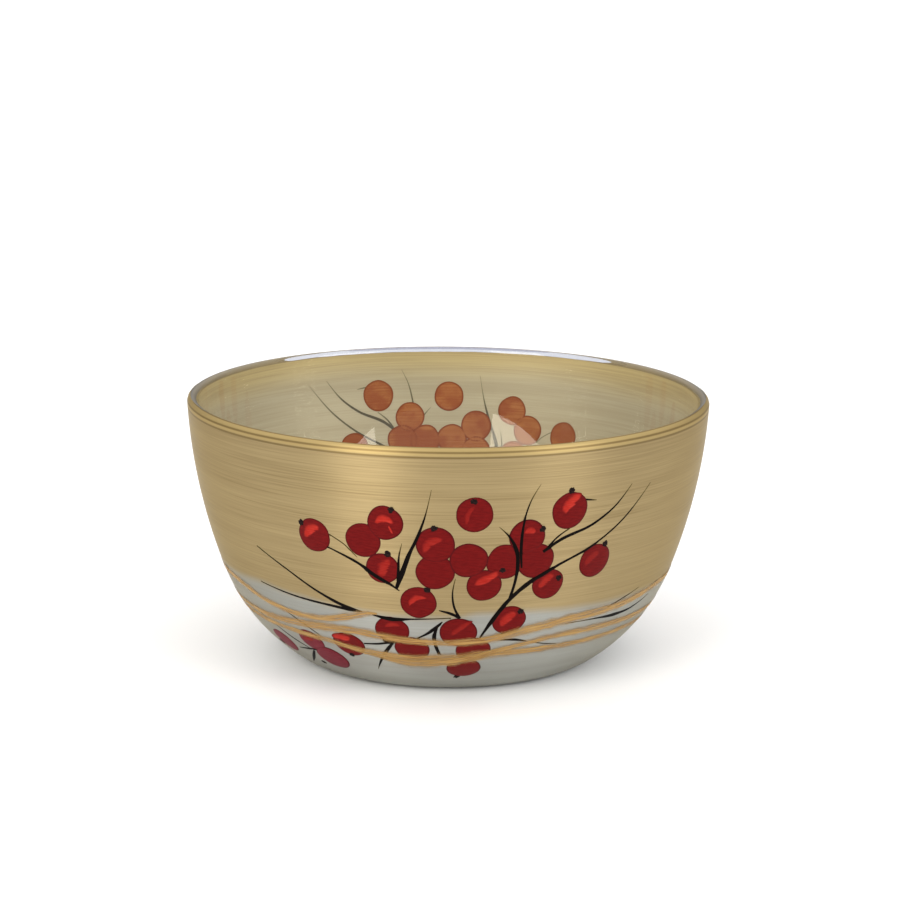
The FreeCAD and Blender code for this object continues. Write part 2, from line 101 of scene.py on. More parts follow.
SEGMENTS = 360                   # round the bowl
PROFILE_STEP = 0.8               # up the profile
FEWEST_STEPS = 16                # on the profile's shortest arc
DISH_STEPS = 24                  # from the axis to the edge of the hollow under the foot
STATION = 0.8                    # along a stroke
ACROSS = (-1.0, -0.92, -0.7, -0.35, 0.0, 0.35, 0.7, 0.92, 1.0)    # over a stroke's top
ACROSS_BACK = (-1.0, 0.0, 1.0)   # and over its back, as shares of its half width
HAIR = 0.1                       # the finest line of the brush
RIM_RINGS = (0.92, 0.97, 1.0)    # close together, where a patch of paint rolls down to its edge
BACK_FROM = 0.3                  # the back of a patch has no rings nearer its centre than this
SHARP = 40.0                     # a bend of more degrees than this is shaded as an edge
TINY = 1e-6

# Berries: brush layer, azimuth, climb, radius.
BERRIES = [
    (0, -18.3, 63.6, 5.0), (1, -13.2, 69.3, 4.9), (1, -14.3, 55.5, 4.6),
    (0, -30.0, 63.4, 4.9), (0, -2.6, 55.0, 5.3), (1, -2.5, 63.3, 5.2), (2, 4.7, 58.7, 5.1),
    (0, -6.6, 45.0, 5.0), (0, 12.8, 57.9, 5.2), (1, 19.8, 57.6, 5.2), (2, 17.3, 65.2, 5.0),
    (1, 8.4, 50.7, 4.8), (0, 5.7, 72.3, 5.0), (0, 26.6, 71.9, 5.3), (0, 23.6, 49.8, 4.6),
    (0, 35.0, 55.3, 5.1), (0, -13.6, 34.9, 4.8), (1, -9.0, 28.0, 4.8),
    (0, -26.8, 27.3, 4.8), (0, -40.0, 25.6, 4.4), (1, -36.0, 18.6, 5.2),
    (0, -55.5, 20.5, 4.7), (0, 15.2, 38.7, 4.7), (0, 7.0, 28.0, 4.8), (1, 2.9, 34.8, 5.1),
    (1, 5.0, 19.4, 4.7),
]
BERRY_SPREAD = 1.05              # the paint runs out this much wider than it was laid
PLUM_BERRIES = (19, 20, 21)      # painted in a bluer red than the rest

# Black dots on the berries: azimuth, climb.
TIPS = [
    (-33.0, 66.8), (-11.8, 73.3), (-13.0, 60.1), (-4.4, 49.3), (-2.8, 68.3), (5.5, 76.2),
    (26.6, 77.7), (20.6, 67.2), (12.3, 55.4), (26.1, 51.5), (37.2, 60.2), (17.7, 41.6),
    (-27.4, 22.5), (-42.8, 14.0), (3.2, 14.3), (-60.0, 18.5),
]
TIP_RADIUS = 0.9

# Light strokes on the berries: azimuth, climb, half length, half width, lean in degrees, bow (how
# far the ends hang below the middle, as a share of the half length) and strength.
GLEAMS = [
    (-30.8, 65.3, 3.4, 1.7, 35, 0.3, 1.0), (-13.5, 70.8, 2.7, 1.5, 5, 0.5, 1.0),
    (-12.0, 67.5, 1.4, 0.35, -65, 0.0, 1.0), (-14.2, 56.0, 3.4, 1.9, 62, 0.2, 0.6),
    (-7.2, 46.7, 3.1, 1.2, 26, 0.5, 0.8), (-3.7, 64.3, 3.5, 1.6, 38, 0.4, 0.5),
    (4.2, 72.4, 3.0, 0.9, 70, 0.3, 0.3), (26.4, 74.4, 3.6, 1.9, 47, 0.2, 1.0),
    (17.8, 67.3, 1.7, 1.3, 0, 0.4, 0.7), (8.8, 53.0, 4.0, 1.5, 28, 0.0, 0.85),
    (22.6, 51.3, 3.0, 1.6, 45, 0.2, 0.6), (33.8, 56.8, 3.0, 1.5, 40, 0.2, 0.3),
    (14.4, 39.7, 3.2, 1.9, 50, 0.2, 0.7), (3.2, 36.8, 3.8, 1.1, 42, 0.1, 0.35),
    (-13.4, 37.4, 2.4, 1.0, 10, 0.3, 0.45), (-28.2, 30.3, 3.1, 1.5, 2, 0.1, 1.0),
    (-41.0, 26.4, 2.2, 1.1, 10, 0.2, 0.35),
]

# Twigs: (azimuth, climb, width) from one end of the stroke to the other.
TWIGS = [
    [(-48.5, 56.0, 0.3), (-40.0, 51.0, 0.5), (-31.0, 45.0, 0.7), (-25.0, 41.9, 1.0),
     (-20.5, 40.7, 0.3)],
    [(-51.0, 44.0, 0.3), (-40.0, 42.4, 0.5), (-28.0, 41.3, 0.8), (-23.0, 40.8, 0.9),
     (-20.5, 40.6, 0.3)],
    [(-18.0, 40.0, 0.4), (-14.0, 39.1, 1.1), (-8.0, 39.4, 0.5), (1.0, 40.1, 0.3)],
    [(-27.0, 60.4, 0.4), (-20.0, 56.5, 0.8), (-16.0, 53.0, 1.1), (-13.0, 50.7, 0.8),
     (-10.8, 48.6, 0.3)],
    [(-26.2, 64.3, 0.3), (-23.0, 62.0, 0.3), (-20.0, 58.2, 0.15)],
    [(-11.5, 49.4, 0.8), (-9.9, 54.5, 1.3), (-8.3, 60.0, 1.0), (-6.2, 66.0, 0.7),
     (-4.7, 71.5, 0.4), (-3.3, 79.5, 0.1)],
    [(-11.2, 50.5, 0.4), (-10.8, 55.0, 0.6), (-10.4, 60.0, 0.4), (-9.7, 63.5, 0.1)],
    [(-1.8, 42.6, 0.3), (0.5, 41.8, 0.8), (3.2, 40.2, 0.7)],
    [(3.0, 40.2, 0.8), (1.8, 43.5, 0.6), (1.3, 48.5, 0.4), (1.9, 53.0, 0.15)],
    [(-7.8, 32.3, 0.2), (-5.0, 34.2, 0.7), (-2.7, 36.6, 1.0), (-1.0, 38.8, 0.3)],
    [(-2.1, 37.0, 0.3), (-3.0, 34.0, 1.0), (-2.8, 30.0, 0.9), (-1.8, 26.0, 0.9)],
    [(8.3, 32.6, 0.5), (11.0, 39.0, 1.1), (14.8, 46.0, 1.1), (19.5, 51.4, 1.2),
     (25.0, 55.3, 0.8), (33.5, 60.2, 0.6), (41.0, 66.5, 0.5), (48.5, 76.0, 0.15)],
    [(14.5, 45.4, 0.8), (15.6, 53.0, 0.8), (15.0, 61.5, 0.9), (13.3, 65.5, 0.5),
     (11.0, 68.5, 0.15)],
    [(16.6, 55.8, 0.4), (16.0, 63.0, 0.8), (16.4, 70.5, 0.5), (17.8, 76.5, 0.3),
     (19.5, 80.3, 0.1)],
    [(21.2, 60.3, 0.9), (25.0, 63.3, 0.9), (33.0, 67.0, 0.7), (38.5, 71.5, 0.5),
     (42.5, 77.0, 0.15)],
    [(22.5, 61.8, 0.6), (24.2, 64.2, 0.5), (27.0, 66.6, 0.25)],
    [(30.3, 74.6, 0.4), (31.5, 74.3, 0.4), (33.0, 74.0, 0.15)],
    [(8.9, 32.5, 0.3), (12.0, 33.4, 0.5), (16.0, 34.6, 0.3)],
    [(13.0, 31.6, 0.2), (17.5, 31.4, 0.8), (21.0, 30.4, 0.3)],
    [(22.5, 29.8, 0.3), (26.0, 28.6, 0.4), (30.5, 27.7, 0.2)],
    [(31.0, 35.3, 0.2), (41.0, 35.0, 0.5), (47.0, 34.6, 1.1), (54.0, 34.9, 0.7),
     (62.5, 37.5, 0.15)],
    [(43.5, 38.3, 0.4), (48.0, 39.8, 0.4), (54.5, 42.0, 0.15)],
    [(-44.5, 35.8, 0.2), (-40.0, 32.8, 0.5), (-35.5, 29.2, 0.3)],
    [(-53.0, 27.8, 0.3), (-48.0, 24.0, 0.6), (-43.0, 21.0, 0.3)],
    [(-49.0, 19.7, 0.3), (-44.0, 20.7, 0.8), (-40.5, 21.6, 0.4)],
    [(-50.0, 11.8, 0.2), (-46.0, 15.6, 0.9), (-42.0, 20.5, 0.6)],
    [(-22.0, 28.7, 0.5), (-18.0, 29.2, 0.7), (-13.2, 30.7, 0.9)],
    [(-16.4, 30.9, 1.1), (-14.8, 30.8, 1.1), (-13.4, 30.8, 0.7)],
    [(-14.0, 30.0, 0.7), (-16.3, 26.2, 1.0), (-18.4, 22.2, 0.7), (-21.0, 16.5, 0.1)],
]
TWIG_PRESS = 1.12                # the brush spreads by this much when it is pressed

# Ochre wisps: azimuth, climb, width. One winds two and a bit times round, the other closes on
# itself. They spread where they meet at the front.
WINDING = [
    (-16.8, 40.5, 0.5), (-19.5, 40.3, 1.5), (-24.0, 38.6, 1.9), (-31.0, 36.6, 1.9),
    (-40.0, 36.0, 1.8), (-50.0, 37.4, 1.6), (-64.0, 40.8, 1.8), (-90.0, 40.0, 2.2),
    (-120.0, 36.5, 1.8), (-150.0, 36.0, 2.2), (-180.0, 38.0, 2.6), (-210.0, 37.5, 2.2),
    (-240.0, 37.0, 1.8), (-270.0, 39.5, 2.0), (-295.0, 40.0, 1.8), (-312.0, 38.0, 2.2),
    (-328.0, 36.9, 2.6), (-340.0, 34.8, 2.7), (-350.0, 32.1, 2.4), (-360.0, 31.2, 2.1),
    (-371.0, 31.8, 2.1), (-384.0, 33.4, 2.6), (-398.0, 32.8, 2.4), (-412.0, 31.8, 2.0),
    (-430.0, 32.5, 1.8), (-455.0, 31.0, 2.2), (-485.0, 29.0, 2.0), (-515.0, 30.5, 2.4),
    (-545.0, 31.5, 2.0), (-575.0, 29.5, 2.4), (-605.0, 29.5, 2.0), (-635.0, 30.5, 1.8),
    (-660.0, 31.0, 2.0), (-680.0, 31.5, 2.2), (-693.0, 31.0, 2.0), (-704.0, 28.2, 1.9),
    (-713.0, 24.9, 2.4), (-722.0, 22.4, 3.4), (-731.0, 21.9, 3.2), (-739.0, 23.6, 1.2),
    (-743.0, 24.4, 0.4),
]
LOOP = [
    (-170.0, 26.0, 2.2), (-140.0, 24.5, 1.8), (-110.0, 26.0, 2.2), (-80.0, 29.0, 2.0),
    (-62.0, 29.2, 1.8), (-46.0, 28.7, 1.7), (-33.0, 27.8, 1.9), (-22.0, 25.4, 2.0),
    (-11.0, 24.1, 3.0), (1.0, 24.2, 4.0), (12.0, 26.0, 3.0), (24.0, 26.3, 2.4),
    (40.0, 26.6, 2.0), (60.0, 26.6, 1.8), (85.0, 24.5, 2.2), (110.0, 23.5, 1.8),
    (135.0, 25.5, 2.4), (160.0, 27.0, 2.0),
]
WISP_SPREAD = 1.65               # the stray hairs at a wisp's sides widen it by this much

# Where gold gives way to silver: azimuth, climb, once round.
SEAM = [
    (-180, 41.5), (-150, 42.5), (-120, 41.0), (-90, 42.0), (-64, 43.7), (-51, 44.3),
    (-38, 42.8), (-24, 41.3), (-11, 40.5), (2, 40.6), (8, 41.8), (20, 41.7), (31, 41.0),
    (44, 40.6), (73, 40.4), (100, 41.8), (130, 40.8), (155, 42.4),
]

# The back spray is narrower than the front one, its marks are smaller, and it is turned, painted
# higher and tilted by so much per degree.
BACK_SQUEEZE = 0.85
BACK_SIZE = 0.9
BACK_SHIFT = -5.0
BACK_LIFT = 2.2
BACK_TILT = 0.05


def srgb(red, green, blue):
    """A colour from its 0 to 255 display values."""
    linear = [v / 255 / 12.92 if v <= 10 else ((v / 255 + 0.055) / 1.055) ** 2.4
              for v in (red, green, blue)]
    return (*linear, 1.0)


def eased(share):
    """A share from 0 to 1, with a gentle start and end."""
    return share * share * (3 - 2 * share)


def half_turn(degrees):
    """The same direction, from -180 to 180 degrees."""
    return (degrees + 180) % 360 - 180


# ---- the wall ----

class Wall:
    """The bowl's outer face, unrolled."""

    def __init__(self):
        lip = WALL / 2
        heel = math.acos(1 - HEEL_TOP / HEEL_RADIUS)
        shoulder = math.acos(math.cos(heel) - (SHOULDER_TOP - HEEL_TOP) / SHOULDER_RADIUS)
        heel_middle = (FOOT_RADIUS, HEEL_RADIUS)
        heel_end = self.on_arc(heel_middle, HEEL_RADIUS, heel)
        shoulder_middle = self.middle(heel_end, SHOULDER_RADIUS, heel)
        shoulder_end = self.on_arc(shoulder_middle, SHOULDER_RADIUS, shoulder)
        self.lip_middle = (RIM_RADIUS - lip, BOWL_HEIGHT - lip)
        across = self.lip_middle[0] - shoulder_end[0]
        up = self.lip_middle[1] - shoulder_end[1]
        toward = up * math.cos(shoulder) - across * math.sin(shoulder)
        radius = (across ** 2 + up ** 2 - lip ** 2) / (2 * (toward - lip))
        middle = self.middle(shoulder_end, radius, shoulder)
        self.lean = math.atan2(self.lip_middle[0] - middle[0], middle[1] - self.lip_middle[1])
        self.arcs = [
            (heel_middle, HEEL_RADIUS, 0.0, heel),
            (shoulder_middle, SHOULDER_RADIUS, heel, shoulder),
            (middle, radius, shoulder, self.lean),
            (self.lip_middle, lip, self.lean, self.lean + math.pi),
        ]
        self.ends = []
        climb = 0.0
        for _, radius, low, high in self.arcs:
            climb += radius * (high - low)
            self.ends.append(climb)

    @staticmethod
    def middle(start, radius, slope):
        return (start[0] - radius * math.sin(slope), start[1] + radius * math.cos(slope))

    @staticmethod
    def on_arc(middle, radius, slope):
        return (middle[0] + radius * math.sin(slope), middle[1] - radius * math.cos(slope))

    def at(self, climb, off=0.0):
        """Radius and height, in millimetres."""
        for (middle, radius, low, high), end in zip(self.arcs, self.ends):
            if climb <= end or low == self.lean:
                return self.on_arc(middle, radius + off, high - (end - climb) / radius)

    def point(self, azimuth, climb, off=0.0):
        radius, height = self.at(climb, off)
        turn = math.radians(azimuth)
        return Vector((radius * math.sin(turn), -radius * math.cos(turn), height)) * MM


wall = Wall()
SEAM_CLIMB = wall.ends[1]
LIP_CLIMB = wall.ends[2]         # where the round of the lip starts
LIP_SHADE_LINES = (-0.9, 0.5, 2.3)     # painted shade: dark lines in the gold, by how far they are past that
COAT_END = LIP_CLIMB + WALL / 2 - CLEAR_LIP
LIP_LAP = 2.8                    # how much higher the gold reaches on the front of the lip,
LAP_REACH = 60.0                 # for this many degrees each side,
LAP_FADE = 80.0                  # and how many more it takes to fall back


def millimetres_per_degree(climb):
    return math.radians(wall.at(climb)[0])


def smooth_line(knots, closed=False):
    """Points on a smooth curve through the knots, STATION apart on the wall at most."""
    count = len(knots)
    found = []
    for i in range(count if closed else count - 1):
        if closed:
            pick = [unwrapped(knots[(i + k) % count], knots[i]) for k in (-1, 0, 1, 2)]
        else:
            pick = [knots[min(max(i + k, 0), count - 1)] for k in (-1, 0, 1, 2)]
        gaps = [max(gap(a, b), TINY) for a, b in zip(pick, pick[1:])]
        steps = max(2, math.ceil(gaps[1] / STATION))
        found += [on_curve(pick, gaps, step / steps) for step in range(steps)]
    if not closed:
        found.append(tuple(float(v) for v in knots[-1]))
    return found


def unwrapped(knot, near):
    """The same knot with its azimuth within half a turn of near's."""
    return (half_turn(knot[0] - near[0]) + near[0],) + knot[1:]


def gap(a, b):
    """Millimetres along the wall between two knots."""
    return math.hypot((b[0] - a[0]) * millimetres_per_degree((a[1] + b[1]) / 2), b[1] - a[1])


def on_curve(pick, gaps, t):
    """The point t of the way from pick[1] to pick[2], on a curve through all four."""
    t2, t3 = t * t, t * t * t
    before, span, after = gaps
    point = []
    for a, b, c, d in zip(*pick):
        leaving = (b - a) / before - (c - a) / (before + span) + (c - b) / span
        arriving = (c - b) / span - (d - b) / (span + after) + (d - c) / after
        point.append((2 * t3 - 3 * t2 + 1) * b + (t3 - 2 * t2 + t) * leaving * span
                     + (3 * t2 - 2 * t3) * c + (t3 - t2) * arriving * span)
    return tuple(point)


def seam_at(azimuth):
    """Climb at which gold gives way to silver."""
    turn = half_turn(azimuth)
    knots = SEAM + [(SEAM[0][0] + 360, SEAM[0][1])]
    for (a, low), (b, high) in zip(knots, knots[1:]):
        if a <= turn <= b:
            return low + (high - low) * eased((turn - a) / (b - a))


# ---- meshes ----

def new_mesh(name, points, faces, materials):
    mesh = bpy.data.meshes.new(name)
    mesh.from_pydata(points, [], faces)
    for material in materials:
        mesh.materials.append(material)
    return mesh


def new_object(name, mesh):
    made = bpy.data.objects.new(name, mesh)
    bpy.context.scene.collection.objects.link(made)
    return made


def shaded_object(name, mesh):
    mesh.validate()
    mesh.shade_smooth()
    mesh.set_sharp_from_angle(angle=math.radians(SHARP))
    mesh.update()
    return new_object(name, mesh)


class Sheet:
    """A mesh under construction, with a value or a vector of its own at each point."""

    def __init__(self):
        self.points = []
        self.faces = []
        self.slots = []
        self.values = {"edge": [], "tone": [], "along": [], "rise": []}
        self.vectors = {"wall": [], "stroke": []}

    def add(self, azimuth, climb, off, stroke=(0, 0, 0), **values):
        """A point given on the wall. rise is how far it is above the seam."""
        turn = math.radians(azimuth)
        self.vectors["wall"].append((RIM_RADIUS * math.sin(turn), -RIM_RADIUS * math.cos(turn),
                                     climb))
        self.vectors["stroke"].append(stroke)
        values["rise"] = climb - seam_at(azimuth)
        for name, column in self.values.items():
            column.append(values.get(name, 0.0))
        self.points.append(wall.point(azimuth, climb, off))
        return len(self.points) - 1

    def face(self, corners, slot=0):
        self.faces.append(corners)
        self.slots.append(slot)

    def strip(self, first, second, slot=0, closed=True):
        """Quads between two rows of points of the same length."""
        count = len(first)
        for i in range(count if closed else count - 1):
            j = (i + 1) % count
            self.face((first[i], first[j], second[j], second[i]), slot)

    def object(self, name, materials):
        mesh = new_mesh(name, self.points, self.faces, materials)
        mesh.polygons.foreach_set("material_index", self.slots)
        for key, column in self.values.items():
            mesh.attributes.new(key, "FLOAT", "POINT").data.foreach_set("value", column)
        for key, column in self.vectors.items():
            flat = [v for vector in column for v in vector]
            mesh.attributes.new(key, "FLOAT_VECTOR", "POINT").data.foreach_set("vector", flat)
        return shaded_object(name, mesh)


def arc(middle, radius, low, high):
    """Points on a profile arc by slope, from low to high."""
    steps = max(FEWEST_STEPS, math.ceil(radius * abs(high - low) / PROFILE_STEP))
    return [Wall.on_arc(middle, radius, low + (high - low) * i / steps)
            for i in range(steps + 1)]


def turned(profile):
    """Points and faces of a profile turned about the axis; points on the axis become poles."""
    points = []
    rows = []
    for radius, height in profile:
        if radius < TINY:
            rows.append([len(points)] * SEGMENTS)
            points.append(Vector((0, 0, height)) * MM)
            continue
        rows.append(list(range(len(points), len(points) + SEGMENTS)))
        for i in range(SEGMENTS):
            turn = 2 * math.pi * i / SEGMENTS
            points.append(Vector((radius * math.sin(turn), -radius * math.cos(turn), height)) * MM)
    faces = []
    for low, high in zip(rows, rows[1:]):
        for i in range(SEGMENTS):
            j = (i + 1) % SEGMENTS
            corners = (low[i], low[j], high[j], high[i])
            faces.append(tuple(dict.fromkeys(corners)))
    return points, faces


def turned_object(name, profile, materials):
    return shaded_object(name, new_mesh(name, *turned(profile), materials))


def dish_points(lift):
    """The hollow under the foot, from the axis out, lifted into the glass."""
    curve = (DISH_RADIUS ** 2 + DISH_DEPTH ** 2) / (2 * DISH_DEPTH)
    end = math.asin(DISH_RADIUS / curve)
    slopes = [end * i / DISH_STEPS for i in range(DISH_STEPS + 1)]
    return [((curve + lift) * math.sin(slope),
             DISH_DEPTH - curve + (curve + lift) * math.cos(slope)) for slope in slopes]


def glass_bowl(materials):
    """The glass. Its second material is that of the bare lip, tinted darker and bluer than the rest
    as painted shade.
    """
    profile = dish_points(0)
    profile[-1] = (DISH_RADIUS, 0)
    for middle, radius, low, high in wall.arcs:
        profile += arc(middle, radius, low, high)[0 if low == 0 else 1:]
    for middle, radius, low, high in wall.arcs[2::-1]:
        profile += arc(middle, radius - WALL, high, low)[1:]
    profile.append((0.0, WALL))
    made = turned_object("bowl_glass", profile, materials)
    for face in made.data.polygons:
        face.material_index = int(face.center.z > (BOWL_HEIGHT - CLEAR_LIP) * MM)
    return made


def ragged(azimuth, size, seed):
    """How far a brushed edge strays at this azimuth."""
    turn = math.radians(azimuth)
    at = Vector((math.sin(turn), math.cos(turn), seed)) * 5
    return size * (noise.noise(at) + 0.5 * noise.noise(at * 3))


def at_front(azimuth):
    """1 at the front, easing to 0 at the back."""
    away = abs(half_turn(azimuth))
    return 1 - eased(min(1.0, max(0.0, (away - LAP_REACH) / LAP_FADE)))


def coat(name, low, high, materials, low_stray=0.0, high_stray=0.0, lap=0.0):
    """A closed film of paint round the wall. Its edges stray by so much, and its top edge is
    higher by lap at the front."""
    sheet = Sheet()
    steps = math.ceil((high - low) / PROFILE_STEP)
    rows = []
    for off, order in ((COAT_TOP, range(steps + 1)), (COAT_BACK, range(steps, -1, -1))):
        for step in order:
            row = []
            for i in range(SEGMENTS):
                azimuth = 360 * i / SEGMENTS
                bottom = low + ragged(azimuth, low_stray, 1)
                top = high + ragged(azimuth, high_stray, 2) + lap * at_front(azimuth)
                climb = bottom + (top - bottom) * step / steps
                row.append(sheet.add(azimuth, climb, off))
            rows.append(row)
    for i, row in enumerate(rows):
        following = rows[(i + 1) % len(rows)]
        sheet.strip(row, following, 1 if steps < i < len(rows) - 1 else 0)
    return sheet.object(name, materials)


# ---- brush marks ----

def front(azimuth, climb):
    return azimuth, climb


def back(azimuth, climb):
    return 180 + azimuth * BACK_SQUEEZE + BACK_SHIFT, climb + BACK_LIFT + azimuth * BACK_TILT


SIDES = (("front", front, 1.0), ("back", back, BACK_SIZE))


def berry_top(layer):
    return BERRY_TOP + LAYER * (1 + layer)


class Relief:
    """How high the berries of both sprays stand at any point of the wall."""

    def __init__(self):
        self.marks = [place(a, c) + (r * scale * BERRY_SPREAD, berry_top(n))
                      for _, place, scale in SIDES for n, a, c, r in BERRIES]

    def top(self, azimuth, climb, margin=0.3):
        found = COAT_TOP
        for mark_azimuth, mark_climb, radius, top in self.marks:
            if top > found and abs(climb - mark_climb) < radius + margin:
                run = half_turn(azimuth - mark_azimuth) * millimetres_per_degree(mark_climb)
                if math.hypot(run, climb - mark_climb) < radius + margin:
                    found = top
        return found


relief = Relief()


def patch(sheet, centre, outline, top, back_off, tone=0.0, spokes=36, rings=8):
    """A closed patch of paint. outline gives its edge by angle as (across, up) from the centre,
    top gives its height by azimuth, climb and share of the way from centre to edge."""
    azimuth, climb = centre
    per_degree = millimetres_per_degree(climb)
    shares = [i / rings for i in range(1, rings - 1)] + list(RIM_RINGS)
    angles = [2 * math.pi * k / spokes for k in range(spokes)]
    edge = [outline(angle) for angle in angles]

    def ring(share, off):
        row = []
        for angle, (across, up) in zip(angles, edge):
            a = azimuth + across * share / per_degree
            c = climb + up * share
            level = top(a, c, share) if off is None else off
            row.append(sheet.add(a, c, level, stroke=(across * share, up * share, tone),
                                 edge=share, tone=tone, along=share * math.sin(angle)))
        return row

    front_rows = [ring(share, None) for share in shares]
    back_rows = [ring(share, back_off) for share in shares
                 if share > BACK_FROM and share != RIM_RINGS[1]]
    middle = sheet.add(azimuth, climb, top(azimuth, climb, 0), stroke=(0, 0, tone), tone=tone)
    behind = sheet.add(azimuth, climb, back_off, stroke=(0, 0, tone), tone=tone)
    for i in range(spokes):
        j = (i + 1) % spokes
        sheet.face((middle, front_rows[0][i], front_rows[0][j]), 0)
        sheet.face((behind, back_rows[0][j], back_rows[0][i]), 1)
    for inner, outer in zip(front_rows, front_rows[1:]):
        sheet.strip(outer, inner, 0)
    for inner, outer in zip(back_rows, back_rows[1:]):
        sheet.strip(inner, outer, 1)
    sheet.strip(back_rows[-1], front_rows[-1], 0)


def rolled(share):
    """Height of a paint film by share of the way to its edge, where it rolls down."""
    return math.sqrt(max(0.0, 1 - share ** 12))


def wobble(angle, seed, amount, detail):
    """How much larger a mark laid by hand is at this angle than a round one."""
    return 1 + amount * noise.noise(Vector((math.cos(angle), math.sin(angle), seed)) * detail)


def berries(side, place, scale, materials):
    sheet = Sheet()
    for i, (layer, azimuth, climb, radius) in enumerate(BERRIES):
        def outline(angle, seed=i):
            size = radius * scale * BERRY_SPREAD * wobble(angle, seed * 7.3, 0.05, detail=1.2)
            return size * math.cos(angle), size * math.sin(angle)

        def top(a, c, share, layer=layer):
            return BERRY_BACK + (berry_top(layer) - BERRY_BACK) * rolled(share)

        tone = 1.0 if i in PLUM_BERRIES else 0.0
        patch(sheet, place(azimuth, climb), outline, top, BERRY_BACK, tone)
    return sheet.object(side + "_berry_paint", materials)


def dots(side, place, scale, materials):
    """The black tips, blobs with a few short points."""
    sheet = Sheet()
    for i, (azimuth, climb) in enumerate(TIPS):
        def outline(angle, seed=i):
            size = TIP_RADIUS * scale * wobble(angle, seed * 3.1, 0.45, detail=1.9)
            return size * math.cos(angle), size * math.sin(angle)

        def top(a, c, share):
            return relief.top(a, c) + STROKE * rolled(share) - TIP_SINK

        patch(sheet, place(azimuth, climb), outline, top, TIP_BACK, spokes=24, rings=5)
    return sheet.object(side + "_tip_paint", materials)


def gleams(side, place, scale, materials):
    """The light strokes that model the berries' shine, brushed thin at their ends."""
    sheet = Sheet()
    for i, (azimuth, climb, long, wide, lean, bow, strength) in enumerate(GLEAMS):
        turn = math.radians(lean)

        def outline(angle, seed=i):
            size = scale * wobble(angle, seed * 5.7, 0.15, detail=1.6)
            along, up = size * long * math.cos(angle), size * wide * math.sin(angle)
            up -= bow * along * along / (long * scale)
            return (along * math.cos(turn) - up * math.sin(turn),
                    along * math.sin(turn) + up * math.cos(turn))

        middle = place(azimuth, climb)
        level = relief.top(*middle, margin=0.8)

        def top(a, c, share, level=level):
            return level + FILM * rolled(share)

        patch(sheet, middle, outline, top, level - GLEAM_SINK, tone=strength, rings=12)
    return sheet.object(side + "_gleam_paint", materials)


def step_between(first, second, per_degree):
    """Millimetres round and up from one station to another."""
    return half_turn(second[0] - first[0]) * per_degree, second[1] - first[1]


def ribbon(sheet, line, lift, under, back_off, seed, closed=False, ragged_edge=0.08):
    """A brush stroke along (azimuth, climb, width) stations, round topped, draped on what it
    crosses."""
    count = len(line)
    run = 0.0
    top_rows, back_rows = [], []
    for i, (azimuth, climb, width) in enumerate(line):
        before = line[(i - 1) % count] if closed else line[max(i - 1, 0)]
        after = line[(i + 1) % count] if closed else line[min(i + 1, count - 1)]
        per_degree = millimetres_per_degree(climb)
        east, north = step_between(before, after, per_degree)
        length = max(math.hypot(east, north), TINY)
        east, north = east / length, north / length
        if i > 0:
            run += math.hypot(*step_between(line[i - 1], line[i], per_degree))
        stray = noise.noise(Vector((run * 0.35, seed, 0)))
        half = max(width, HAIR) / 2 * (1 + ragged_edge * 2 * stray)
        for rows, shares in ((top_rows, ACROSS), (back_rows, ACROSS_BACK)):
            row = []
            for share in shares:
                a = azimuth - north * half * share / per_degree
                c = climb + east * half * share
                level = back_off
                if rows is top_rows:
                    level = under(a, c) + lift * math.sqrt(1 - abs(share) ** 3) - STROKE_SINK
                row.append(sheet.add(a, c, level, stroke=(run, half * share, seed),
                                     edge=abs(share), tone=width))
            rows.append(row)
    for i in range(count if closed else count - 1):
        j = (i + 1) % count
        sheet.strip(top_rows[j], top_rows[i], 0, closed=False)
        sheet.strip(back_rows[i], back_rows[j], 1, closed=False)
        for side in (0, -1):
            corners = (top_rows[i][side], top_rows[j][side], back_rows[j][side],
                       back_rows[i][side])
            sheet.face(corners if side == 0 else corners[::-1], 0)
    if not closed:
        sheet.face(tuple(back_rows[0] + top_rows[0][::-1]), 0)
        sheet.face(tuple(top_rows[-1] + back_rows[-1][::-1]), 0)


def twigs(side, place, scale, materials):
    sheet = Sheet()
    for i, knots in enumerate(TWIGS):
        line = smooth_line(knots)
        line = [place(a, c) + (w * scale * TWIG_PRESS,) for a, c, w in line]
        ribbon(sheet, line, STROKE, relief.top, TWIG_BACK, seed=i * 2.7)
    return sheet.object(side + "_twig_paint", materials)


def wisp(name, knots, lift, materials, closed):
    sheet = Sheet()

    def under(azimuth, climb):
        return relief.top(azimuth, climb) + lift

    line = [(a, c, width * WISP_SPREAD) for a, c, width in smooth_line(knots, closed)]
    ribbon(sheet, line, FILM, under, WISP_BACK, seed=lift * 90, closed=closed, ragged_edge=0.14)
    return sheet.object(name, materials)


# ---- materials ----

